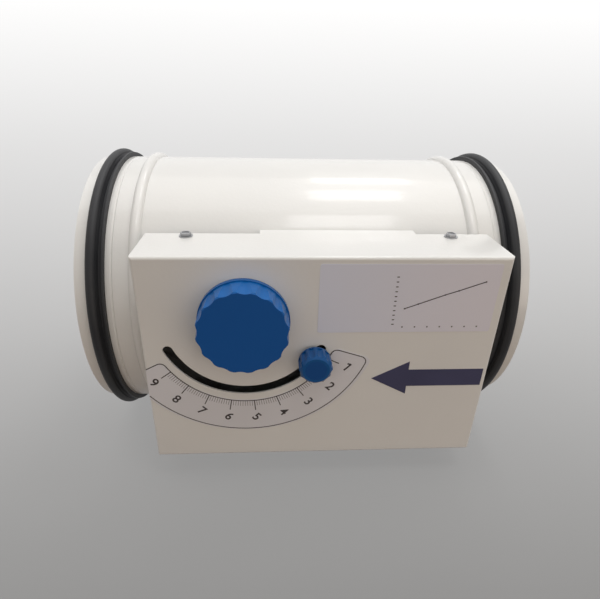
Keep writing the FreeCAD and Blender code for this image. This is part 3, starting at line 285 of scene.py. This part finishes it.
class Finish:
    """A material: a Principled shader, the object's coordinates and a way to add nodes."""

    def __init__(self, name, **constants):
        self.material = bpy.data.materials.new(name)
        self.material.use_nodes = True
        self.tree = self.material.node_tree
        self.tree.nodes.clear()
        self.shader = self.tree.nodes.new("ShaderNodeBsdfPrincipled")
        end = self.tree.nodes.new("ShaderNodeOutputMaterial")
        self.tree.links.new(self.shader.outputs[0], end.inputs["Surface"])
        for word, value in constants.items():
            socket = word.replace("_", " ").title().replace("Ior", "IOR")
            self.shader.inputs[socket].default_value = value
        self.place = self.node("ShaderNodeTexCoord", pick="Object")

    def node(self, kind, choices=(), inputs=(), pick=0):
        made = self.tree.nodes.new(kind)
        for word, value in dict(choices).items():
            setattr(made, word, value)
        for key, value in dict(inputs).items():
            if isinstance(value, Wire):
                self.tree.links.new(value.socket, made.inputs[key])
            else:
                made.inputs[key].default_value = value
        return Wire(self, made.outputs[pick])

    def link(self, word, wire):
        self.tree.links.new(wire.socket, self.shader.inputs[word])

    def mix(self, factor, first, second):
        pair = [end if isinstance(end, Wire) else (*end, 1.0) for end in (first, second)]
        return self.node("ShaderNodeMix", {"data_type": "RGBA", "clamp_factor": True},
                         {0: factor, 6: pair[0], 7: pair[1]}, pick=2)

    def stretched(self, scale):
        return self.node("ShaderNodeMapping", {}, {"Vector": self.place, "Scale": scale})

    def noise(self, scale, detail=2.0, vector=None):
        return self.node("ShaderNodeTexNoise", {},
                         {"Vector": vector or self.place, "Scale": scale, "Detail": detail})

    def weave(self, direction, scale):
        return self.node("ShaderNodeTexWave", {"bands_direction": direction},
                         {"Vector": self.place, "Scale": scale})

    def cells(self, scale):
        """A random shade for each crystal-like cell."""
        tone = self.node("ShaderNodeTexVoronoi", {}, {"Vector": self.place, "Scale": scale},
                         pick="Color")
        return self.node("ShaderNodeSeparateXYZ", {}, {0: tone})

    def axis(self, name):
        return self.node("ShaderNodeSeparateXYZ", {}, {0: self.place}, pick=name)

    def round_the_duct(self):
        """Coordinates that are the same all round the duct: along it and out from its axis."""
        out = self.node("ShaderNodeMath", {"operation": "SQRT"},
                        {0: self.axis("Y") * self.axis("Y") + self.axis("Z") * self.axis("Z")})
        return self.node("ShaderNodeCombineXYZ", {}, {0: self.axis("X"), 1: out})

    def bump(self, height, depth, strength=1.0):
        self.link("Normal", self.node("ShaderNodeBump", {},
                                      {"Strength": strength, "Distance": depth, "Height": height}))


def powder_coat():
    tones = settings("damper_finishes")
    finish = Finish("white_powder_coat", coat_weight=0.5, coat_roughness=0.09)
    cloud = finish.noise(9.0, 3.0)
    peel = finish.noise(520.0, 2.0)
    finish.link("Base Color", finish.mix(cloud.between(0.35, 0.75), tones.coat, tones.coat_shade))
    finish.link("Roughness", 0.26 + 0.10 * finish.noise(70.0) + 0.04 * peel)
    finish.bump(peel + 0.5 * finish.noise(210.0), 0.06 * MM)
    return finish.material


def seal_rubber():
    tones = settings("damper_finishes")
    finish = Finish("black_seal_rubber", specular_ior_level=0.4)
    streak = finish.noise(1500.0, 3.0, finish.round_the_duct())
    bloom = finish.noise(35.0, 4.0)
    finish.link("Base Color", finish.mix((streak * 0.6 + bloom * 0.5).between(0.4, 0.9),
                                         tones.rubber, tones.rubber_bloom))
    finish.link("Roughness", 0.42 + 0.22 * bloom)
    finish.bump(streak + 0.3 * finish.noise(2600.0), 0.08 * MM)
    return finish.material


def bellows_fabric():
    tones = settings("damper_finishes")
    finish = Finish("coated_bellows_fabric", specular_ior_level=0.35)
    finish.link("Base Color",
                finish.mix(finish.noise(45.0, 3.0), tones.rubber, tones.rubber_bloom))
    finish.link("Roughness", 0.55 + 0.2 * finish.noise(120.0))
    finish.bump(finish.weave("X", 420.0) * finish.weave("Y", 420.0), 0.1 * MM)
    return finish.material


def knob_plastic(low, high, face_radius, depth=1.0):
    """Blue plastic, with a darker matte disc on the front of the knob that fills the box; where the
    disc is smaller than the flat front, the ring round it keeps the lighter blue as a painted bevel
    highlight.
    """
    tones = settings("damper_finishes")
    finish = Finish("blue_knob_plastic", specular_ior_level=0.3, coat_roughness=0.05)
    side, up = [finish.axis(name) - (low[row] + high[row]) / 2
                for name, row in (("X", 0), ("Z", 2))]
    # Inside face_radius the flat front is the matte face; where the flat front reaches past it, as
    # on the clamp knob, the ring keeps the lighter blue as a painted highlight of a lit bevel.
    face = (finish.axis("Y") < low[1] + 0.3 * MM) * (side * side + up * up < face_radius ** 2)
    grain = finish.noise(1800.0, 2.0)
    finish.link("Base Color", finish.mix(face * 0.85 + 0.15 * finish.noise(60.0),
                                         shaded(tones.knob, depth), shaded(tones.knob_dark, depth)))
    finish.link("Roughness", 0.27 + 0.06 * finish.noise(90.0) + face * (0.22 + 0.1 * grain))
    finish.link("Coat Weight", (1.0 - face) * 0.12)
    finish.bump(face * grain + 0.15 * finish.noise(300.0), 0.05 * MM)
    return finish.material


def black_plastic():
    finish = Finish("black_moulded_plastic", specular_ior_level=0.45)
    grain = finish.noise(1500.0)
    finish.link("Base Color", finish.mix(grain, (0.012, 0.012, 0.013), (0.022, 0.022, 0.022)))
    finish.link("Roughness", 0.4 + 0.15 * grain)
    finish.bump(grain, 0.03 * MM)
    return finish.material


def grey_plastic():
    finish = Finish("grey_bearing_plastic")
    grain = finish.noise(900.0)
    finish.link("Base Color",
                finish.mix(finish.noise(30.0), (0.20, 0.205, 0.21), (0.26, 0.265, 0.27)))
    finish.link("Roughness", 0.45 + 0.15 * grain)
    finish.bump(grain, 0.04 * MM)
    return finish.material


def film(name, ground, shade, span=None):
    """Printed film with a fine tooth; a span of x shifts its ground from one tone to the other."""
    finish = Finish(name, specular_ior_level=0.45)
    tooth = finish.noise(1400.0)
    cloud = finish.noise(25.0, 3.0).between(0.3, 0.8)
    share_of_end = finish.axis("X").between(*span) * 0.9 + cloud * 0.1 if span else cloud
    finish.link("Base Color", finish.mix(share_of_end, ground, shade))
    finish.link("Roughness", 0.38 + 0.12 * tooth)
    finish.bump(tooth, 0.02 * MM)
    return finish.material


def plated_steel(name, tone, rough=0.26):
    finish = Finish(name, metallic=1.0)
    cloud = finish.noise(140.0, 4.0)
    scratch = finish.noise(420.0, 3.0, finish.stretched((1.0, 9.0, 1.0)))
    finish.link("Base Color", finish.mix(cloud, tone, shaded(tone, 0.82)))
    finish.link("Roughness", rough + 0.14 * cloud + 0.08 * scratch)
    finish.bump(scratch, 0.02 * MM)
    return finish.material


def spangled_sheet(name, tone, scale, rough):
    """Sheet metal with the crystal flowers of its zinc."""
    finish = Finish(name, metallic=1.0)
    flower = finish.cells(scale)
    finish.link("Base Color", finish.mix(flower, shaded(tone, 0.8), tone))
    finish.link("Roughness", rough + 0.18 * flower + 0.05 * finish.noise(600.0))
    finish.bump(finish.noise(350.0), 0.03 * MM)
    return finish.material


def rolled_aluminium(name, tone):
    """Aluminium with the fine lines of rolling."""
    finish = Finish(name, metallic=1.0)
    lines = finish.noise(260.0, 4.0, finish.stretched((0.06, 1.0, 1.0)))
    cloud = finish.noise(22.0, 3.0)
    finish.link("Base Color", finish.mix(lines, tone, shaded(tone, 0.84)))
    finish.link("Roughness", 0.28 + 0.12 * lines + 0.08 * cloud)
    finish.bump(lines, 0.03 * MM)
    return finish.material


def stage_paper(stage):
    """Matte paper that pales away from the camera, and up the backdrop."""
    finish = Finish("stage_paper", roughness=0.9, specular_ior_level=0.1, emission_strength=1.0)
    camera, glossy, transmission = [finish.node("ShaderNodeLightPath", pick="Is " + kind + " Ray")
                                    for kind in ("Camera", "Glossy", "Transmission")]
    seen = camera + glossy + transmission
    grain = finish.mix(finish.noise(3.0) * 0.2, stage.floor, shaded(stage.floor, 0.95))
    finish.link("Base Color", finish.mix(seen, stage.bounce, grain))
    away = (finish.axis("Y") + finish.axis("Z") * 0.5 + 0.42).at_least(0.0)
    glow = (away / (away + 0.58) + finish.axis("Z").at_least(-0.15) * 0.3) * seen
    finish.link("Emission Color", finish.mix(glow, [0.0] * 3, stage.glow))
    return finish.material


# Modelling helpers

def clear_selection():
    if bpy.context.object and bpy.context.object.mode != "OBJECT":
        bpy.ops.object.mode_set(mode="OBJECT")
    bpy.ops.object.select_all(action="DESELECT")


def choose(objects):
    clear_selection()
    for obj in objects:
        obj.select_set(True)
    bpy.context.view_layer.objects.active = objects[0]


def joined(objects, name):
    """Joins objects into one piece, with its place in its mesh."""
    choose(objects)
    if len(objects) > 1:
        bpy.ops.object.join()
    bpy.ops.object.transform_apply(location=True, rotation=True, scale=True)
    piece = bpy.context.object
    piece.name = piece.data.name = name
    return piece


def seated(piece, body, material):
    """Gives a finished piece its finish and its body."""
    piece.data.materials.clear()
    piece.data.materials.append(material)
    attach(piece, body)
    return piece


def coated(material, *nodes):
    """Gives CAD nodes a finish."""
    for name in nodes:
        node = frame["nodes"][name]
        if not node.material_slots:
            node.data.materials.append(material)
        for held in node.material_slots:
            held.material = material


def modified(piece, kind, **choices):
    """Adds a modifier and applies it."""
    choose([piece])
    made = piece.modifiers.new(kind.title(), kind)
    for word, value in choices.items():
        setattr(made, word, value)
    bpy.ops.object.modifier_apply(modifier=made.name)
    return piece


def on_dial(radius, turn):
    """A place on the labels' front, by its radius and its angle from straight down."""
    level = DIAL.z - settings("damper_print").drop
    return Vector((DIAL.x + radius * math.sin(turn), LABEL_FRONT, level - radius * math.cos(turn)))


def printed(objects, name, tone):
    """Joins lines or digits into one printed piece of an ink."""
    ink = film(name + "_ink", tone, shaded(tone, 1.3))
    seated(joined(objects, name), "casing", ink)


def bar(start, end, width, relief):
    """A printed line between two places."""
    along = end - start
    turn = math.atan2(-along.z, along.x)
    clear_selection()
    middle = (start + end) / 2 - Vector((0, relief / 2, 0))
    bpy.ops.mesh.primitive_cube_add(size=1.0, location=middle, rotation=(0, turn, 0),
                                    scale=(along.length, relief, width))
    return bpy.context.object


def arc(centre, radius, start, end, width, relief):
    """A printed arc: a small slab spun about the centre, by angles from straight down."""
    clear_selection()
    place = centre + Vector((radius * math.sin(start), -relief / 2, -radius * math.cos(start)))
    bpy.ops.mesh.primitive_plane_add(size=1.0, location=place)
    line = bpy.context.object
    line.scale = (relief, width, 1.0)
    line.rotation_euler = (Matrix.Rotation(-start, 3, "Y") @ Matrix.Rotation(math.pi / 2, 3, "Z")
                           @ Matrix.Rotation(math.pi / 2, 3, "X")).to_euler()
    bpy.ops.object.transform_apply(location=True, rotation=True, scale=True)
    bpy.ops.object.mode_set(mode="EDIT")
    bpy.ops.mesh.select_all(action="SELECT")
    steps = max(4, round(abs(end - start) * radius / ARC_STEP))
    bpy.ops.mesh.spin(steps=steps, angle=start - end, center=centre, axis=(0, -1, 0))
    bpy.ops.mesh.select_all(action="SELECT")
    bpy.ops.mesh.remove_doubles(threshold=1e-7)
    bpy.ops.mesh.normals_make_consistent(inside=False)
    bpy.ops.object.mode_set(mode="OBJECT")
    return line


# Operators

class DAMPER_OT_metal(bpy.types.Operator):
    """Finish the duct, the cover and every metal part"""

    bl_idname = "damper.metal"
    bl_label = "Metal parts"

    def execute(self, context):
        tones = settings("damper_finishes")
        coated(powder_coat(), "duct_body", "cover")
        coated(spangled_sheet("galvanised_sheet", tones.galvanised, 130.0, 0.30),
               "housing_frame", "bellows_bracket")
        coated(rolled_aluminium("rolled_aluminium", tones.aluminium), "damper_blade")
        coated(plated_steel("bright_aluminium_rivet", tones.aluminium, 0.32),
               "frame_rivets", "rear_bearing_rivets", "bellows_bracket_rivets")
        coated(plated_steel("zinc_plated_steel", tones.zinc),
               "cover_screws", "stop_pins", "setting_pivot", "blade_axle", "blade_screws",
               "axle_crank", "setting_lever", "clamp_stud")
        coated(plated_steel("black_steel", (0.05, 0.05, 0.055), 0.34),
               "crank_set_screw", "axle_clip")
        coated(plated_steel("sintered_bronze", (0.50, 0.33, 0.17), 0.42), "front_bearing")
        coated(plated_steel("brass_insert", (0.62, 0.46, 0.20), 0.25), "clamp_insert")
        return {"FINISHED"}


class DAMPER_OT_rubber_and_plastic(bpy.types.Operator):
    """Finish the seals, the knobs, the washer, the rear bearing and the label films"""

    bl_idname = "damper.rubber_and_plastic"
    bl_label = "Rubber, plastic and film"

    def execute(self, context):
        tones = settings("damper_finishes")
        coated(seal_rubber(), "inlet_seal", "outlet_seal")
        coated(knob_plastic(KNOB_LOW, KNOB_HIGH, 30.0 * MM), "setting_knob")
        # The clamp knob takes both blues scaled by 0.72 (depth), so it is darker than the setting
        # knob.
        coated(knob_plastic(CLAMP_LOW, CLAMP_HIGH, 6.9 * MM, 0.72), "clamp_knob")
        coated(black_plastic(), "clamp_washer")
        coated(grey_plastic(), "rear_bearing")
        span = (PLATE_LOW[0], PLATE_HIGH[0])
        coated(film("dial_film", tones.dial, shaded(tones.dial, 0.96)), "scale_label")
        coated(film("type_film", tones.plate, tones.plate_end, span), "type_label")
        coated(film("arrow_film", tones.arrow, shaded(tones.arrow, 1.2)), "flow_arrow")
        return {"FINISHED"}


class DAMPER_OT_dial_print(bpy.types.Operator):
    """Print the dial's outline and its ticks"""

    bl_idname = "damper.dial_print"
    bl_label = "Dial lines"

    def execute(self, context):
        ink, tones = settings("damper_print"), settings("damper_finishes")
        width, relief, corner = ink.line_width, ink.relief, ink.corner
        inner, outer, right, left = ink.inner_radius, ink.outer_radius, ink.start, -ink.end
        hub = on_dial(0.0, 0.0)
        lines, ticks = [], []
        for number in range(NUMBERS):
            turn = ink.first - ink.step * number
            lines.append(bar(on_dial(inner, turn), on_dial(inner + ink.major_length, turn),
                             width, relief))
            for part in range(1, PARTS if number < NUMBERS - 1 else 1):
                small = turn - ink.step * part / PARTS
                ticks.append(bar(on_dial(inner + width / 2, small),
                                 on_dial(inner + ink.minor_length, small), ink.fine_width, relief))
        lean_in = math.asin(corner / (inner + corner))
        lean_out = math.asin(corner / (outer - corner))
        near = math.sqrt((inner + corner) ** 2 - corner ** 2)
        far = math.sqrt((outer - corner) ** 2 - corner ** 2)
        edge = DIAL.x - COVER_LEFT - BARE_EDGE
        lines.append(arc(hub, inner, left + lean_in, right - lean_in, width, relief))
        lines.append(arc(hub, outer, -math.asin(edge / outer), right - lean_out, width, relief))
        lines.append(bar(on_dial(near, right), on_dial(far, right), width, relief))
        lines.append(bar(on_dial(near, left), on_dial(-edge / math.sin(left), left), width, relief))
        quarter = math.pi / 2
        for spot, first, last in (
                (on_dial(inner + corner, right - lean_in),
                 right + quarter, right - lean_in + math.pi),
                (on_dial(inner + corner, left + lean_in),
                 left + lean_in - math.pi, left - quarter),
                (on_dial(outer - corner, right - lean_out),
                 right - lean_out, right + quarter)):
            lines.append(arc(spot, corner, first, last, width, relief))
        printed(lines, "dial_lines", tones.ink)
        printed(ticks, "dial_ticks", tones.pale_ink)
        return {"FINISHED"}


class DAMPER_OT_dial_digits(bpy.types.Operator):
    """Print the digits 1 to 9 along the dial"""

    bl_idname = "damper.dial_digits"
    bl_label = "Dial digits"

    def execute(self, context):
        ink, tones = settings("damper_print"), settings("damper_finishes")
        lean, tall = ink.digit_lean, ink.digit_height * HALF_HEIGHT
        across = Vector((math.cos(lean), 0, -math.sin(lean)))
        up = Vector((math.sin(lean), 0, math.cos(lean)))
        stem = on_dial(ink.digit_radius, ink.first) + across * STEM_SHIFT * tall
        top = stem + up * tall
        flag = top - (across * FLAG_ACROSS + up * FLAG_DOWN) * tall
        digits = [bar(stem - up * tall, top, ink.digit_stroke, ink.relief),
                  bar(top - up * FLAG_START * tall, flag, ink.digit_stroke, ink.relief)]
        for number in range(1, NUMBERS):
            place = on_dial(ink.digit_radius, ink.first - ink.step * number)
            clear_selection()
            bpy.ops.object.text_add(location=place, rotation=(math.pi / 2, lean, 0))
            digit = bpy.context.object
            digit.data.body = str(number + 1)
            digit.data.size = ink.digit_height
            digit.data.align_x, digit.data.align_y = "CENTER", "CENTER"
            digit.data.extrude = ink.relief
            digit.data.offset = THICKENING
            digit.data.resolution_u = 6
            bpy.ops.object.convert(target="MESH")
            digits.append(bpy.context.object)
        printed(digits, "dial_digits", tones.ink)
        return {"FINISHED"}


class DAMPER_OT_chart_print(bpy.types.Operator):
    """Print the plain setting chart on the type label"""

    bl_idname = "damper.chart_print"
    bl_label = "Chart lines"

    def execute(self, context):
        ink, tones = settings("damper_print"), settings("damper_finishes")
        fine, dot = ink.line_width, DOT_HEIGHT * MM

        def dash(start, end, width):
            ends = [Vector((x * MM, LABEL_FRONT, z * MM)) for x, z in (start, end)]
            return bar(*ends, width, ink.relief)

        lines = []
        for row in range(ROWS):
            level = TOP_ROW - ROW_STEP * row
            lines.append(dash((ROW_LEFT, level), (ROW_RIGHT, level), fine))
        for column in range(COLUMNS):
            x = FIRST_COLUMN + COLUMN_STEP * column
            lines.append(dash((x - DOT_REACH, COLUMN_LEVEL), (x + DOT_REACH, COLUMN_LEVEL), dot))
        for start, end in zip(CURVE, CURVE[1:]):
            lines.append(dash(start, end, fine))
        for x, z in CURVE:
            lines.append(dash((x - MARK_REACH, z), (x + MARK_REACH, z), dot))
        printed(lines, "chart_lines", tones.ink)
        return {"FINISHED"}


class DAMPER_OT_tension_spring(bpy.types.Operator):
    """Wind the tension spring between its anchor and the crank's peg"""

    bl_idname = "damper.tension_spring"
    bl_label = "Tension spring"

    def execute(self, context):
        works = settings("damper_works")
        level = CRANK_FRONT + works.coil_radius + works.wire_radius
        anchor = Vector((DIAL.x + works.anchor_reach * math.sin(works.setting), level,
                         DIAL.z - works.anchor_reach * math.cos(works.setting)))
        peg = Vector((AXLE.x, level, AXLE.z + works.crank_radius))
        along = peg - anchor
        radius, count = works.coil_radius, works.coils * COIL_STEPS
        start, end = 2 * radius, along.length - 2 * radius
        loop = [Vector((radius * math.cos(math.pi * step / LOOP_STEPS), 0,
                        radius * math.sin(math.pi * step / LOOP_STEPS)))
                for step in range(-LOOP_STEPS * 3 // 2, 1)]
        points = list(loop)
        for step in range(count + 1):
            turn = 2 * math.pi * step / COIL_STEPS
            points.append(Vector((start + (end - start) * step / count,
                                  -radius * math.sin(turn), radius * math.cos(turn))))
        points += [Vector((along.length - spot.x, 0, -spot.z)) for spot in reversed(loop)]
        clear_selection()
        bpy.ops.curve.primitive_nurbs_path_add()
        wire = bpy.context.object
        wire.data.splines.clear()
        spline = wire.data.splines.new("NURBS")
        spline.points.add(len(points) - 1)
        for spot, point in zip(spline.points, points):
            spot.co = (*point, 1.0)
        spline.order_u, spline.use_endpoint_u, spline.resolution_u = 3, True, 2
        wire.data.bevel_depth, wire.data.bevel_resolution = works.wire_radius, 3
        wire.data.use_fill_caps = True
        wire.location = anchor
        wire.rotation_euler = (0, math.atan2(-along.z, along.x), 0)
        bpy.ops.object.convert(target="MESH")
        piece = joined([bpy.context.object], "spring_wire")
        bpy.ops.object.shade_smooth()
        steel = plated_steel("spring_wire_steel", (0.42, 0.43, 0.45), 0.22)
        seated(piece, "setting_arm", steel)
        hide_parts("tension_spring")
        return {"FINISHED"}


class DAMPER_OT_bellows(bpy.types.Operator):
    """Fold the bellows between the blade and its bracket"""

    bl_idname = "damper.bellows"
    bl_label = "Bellows"

    def execute(self, context):
        works = settings("damper_works")
        low, high = Vector(BELLOWS_LOW), Vector(BELLOWS_HIGH)
        middle, size = (low + high) / 2, high - low
        rise, fold = size.z / (2 * works.pleats), works.fold
        clear_selection()
        bpy.ops.mesh.primitive_plane_add(size=1.0, location=(middle.x, middle.y, low.z))
        skin = bpy.context.object
        inner = Vector((size.x - 2 * fold, size.y - 2 * fold))
        skin.scale = (inner.x, inner.y, 1.0)
        bpy.ops.object.transform_apply(location=True, rotation=True, scale=True)
        bpy.ops.object.mode_set(mode="EDIT")
        bpy.ops.mesh.select_all(action="SELECT")
        wider = (size.x / inner.x, size.y / inner.y)
        narrower = (inner.x / size.x, inner.y / size.y)
        for grow in (wider, narrower) * works.pleats:
            bpy.ops.mesh.extrude_region_move(TRANSFORM_OT_translate={"value": (0, 0, rise)})
            bpy.ops.transform.resize(value=(*grow, 1.0))
        bpy.ops.mesh.select_all(action="SELECT")
        bpy.ops.mesh.normals_make_consistent(inside=False)
        bpy.ops.object.mode_set(mode="OBJECT")
        modified(skin, "BEVEL", width=PLEAT_SEAM, segments=3, limit_method="ANGLE",
                 angle_limit=math.radians(25))
        piece = joined([skin], "bellows_skin")
        bpy.ops.object.shade_smooth_by_angle(angle=math.radians(40))
        piece.data.materials.append(bellows_fabric())
        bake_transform(piece)
        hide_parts("bellows")
        return {"FINISHED"}


class DAMPER_OT_stage(bpy.types.Operator):
    """Set up the floor, the soft lamps and the camera"""

    bl_idname = "damper.stage"
    bl_label = "Stage"

    def lamp(self, name, place, target, size, power, tint):
        clear_selection()
        bpy.ops.object.light_add(type="AREA", location=place)
        lamp = bpy.context.object
        lamp.name = lamp.data.name = name
        lamp.rotation_euler = (Vector(target) - Vector(place)).to_track_quat("-Z", "Y").to_euler()
        lamp.data.shape, lamp.data.energy, lamp.data.color = "RECTANGLE", power, tint
        lamp.data.size, lamp.data.size_y = size

    def execute(self, context):
        stage = settings("damper_stage")
        clear_selection()
        bpy.ops.mesh.primitive_plane_add(size=1.0, location=(0, 0, cad_box[0][2]))
        floor = bpy.context.object
        floor.scale = (*PAPER_SIZE, 1.0)
        bpy.ops.object.transform_apply(location=True, rotation=True, scale=True)
        bpy.ops.object.mode_set(mode="EDIT")
        bpy.ops.mesh.select_all(action="DESELECT")
        bpy.ops.object.mode_set(mode="OBJECT")
        for edge in floor.data.edges:
            edge.select = all(floor.data.vertices[end].co.y > 0 for end in edge.vertices)
        bpy.ops.object.mode_set(mode="EDIT")
        bpy.ops.mesh.extrude_region_move(TRANSFORM_OT_translate={"value": (0, 0, PAPER_RISE)})
        bpy.ops.object.mode_set(mode="OBJECT")
        modified(floor, "BEVEL", width=PAPER_BEND, segments=BEND_STEPS, limit_method="ANGLE")
        floor = joined([floor], "stage_floor")
        bpy.ops.object.shade_smooth()
        floor.data.materials.append(stage_paper(stage))
        self.lamp("lamp_overhead", (-0.14, 0.25, 1.15), MIDDLE, (2.2, 0.9), stage.key, WHITE)
        self.lamp("lamp_front", (0.75, -1.3, 0.15), MIDDLE, (1.0, 0.8), stage.fill, WARM_WHITE)
        for name, x, y, size in STRIPS:
            self.lamp("lamp_strip_" + name, (x, y, CEILING), (x, y, 0.0), size,
                      stage.strips * size[0] * size[1], WHITE)
        world = bpy.data.worlds.new("soft_sky")
        context.scene.world = world
        world.use_nodes = True
        sky = world.node_tree.nodes["Background"]
        sky.inputs["Color"].default_value = SKY_WHITE
        sky.inputs["Strength"].default_value = stage.sky
        clear_selection()
        bpy.ops.object.camera_add(location=stage.place)
        camera = bpy.context.object
        camera.rotation_euler = (Matrix.Rotation(stage.pan, 3, "Z")
                                 @ Matrix.Rotation(stage.tilt, 3, "X")
                                 @ Matrix.Rotation(stage.roll, 3, "Z")).to_euler()
        camera.data.lens, camera.data.sensor_width = stage.lens, SENSOR
        camera.data.shift_x, camera.data.shift_y = SHIFT
        camera.data.clip_start, camera.data.clip_end = CLIP
        context.scene.camera = camera
        context.scene.view_settings.view_transform = "Standard"
        return {"FINISHED"}


class DAMPER_PT_panel(bpy.types.Panel):
    """Lists the operators and their settings"""

    bl_idname = "DAMPER_PT_panel"
    bl_label = "Constant flow damper"
    bl_space_type = "VIEW_3D"
    bl_region_type = "UI"
    bl_category = "Damper"

    def draw(self, context):
        for operator in OPERATORS:
            self.layout.operator(operator.bl_idname)
        for name, group in GROUPS.items():
            box = self.layout.box()
            for word in group.__annotations__:
                box.prop(getattr(context.scene, name), word)


OPERATORS = (
    DAMPER_OT_metal, DAMPER_OT_rubber_and_plastic, DAMPER_OT_dial_print, DAMPER_OT_dial_digits,
    DAMPER_OT_chart_print, DAMPER_OT_tension_spring, DAMPER_OT_bellows, DAMPER_OT_stage,
)
GROUPS = {
    "damper_finishes": DamperFinishes,
    "damper_print": DamperPrint,
    "damper_works": DamperWorks,
    "damper_stage": DamperStage,
}


def register():
    for name, group in GROUPS.items():
        bpy.utils.register_class(group)
        setattr(bpy.types.Scene, name, bpy.props.PointerProperty(type=group))
    for made in (*OPERATORS, DAMPER_PT_panel):
        bpy.utils.register_class(made)


def unregister():
    for made in (DAMPER_PT_panel, *reversed(OPERATORS)):
        bpy.utils.unregister_class(made)
    for name, group in reversed(GROUPS.items()):
        delattr(bpy.types.Scene, name)
        bpy.utils.unregister_class(group)


def main():
    register()
    for operator in OPERATORS:
        family, name = operator.bl_idname.split(".")
        getattr(getattr(bpy.ops, family), name)()


if __name__ == "__main__":
    main()
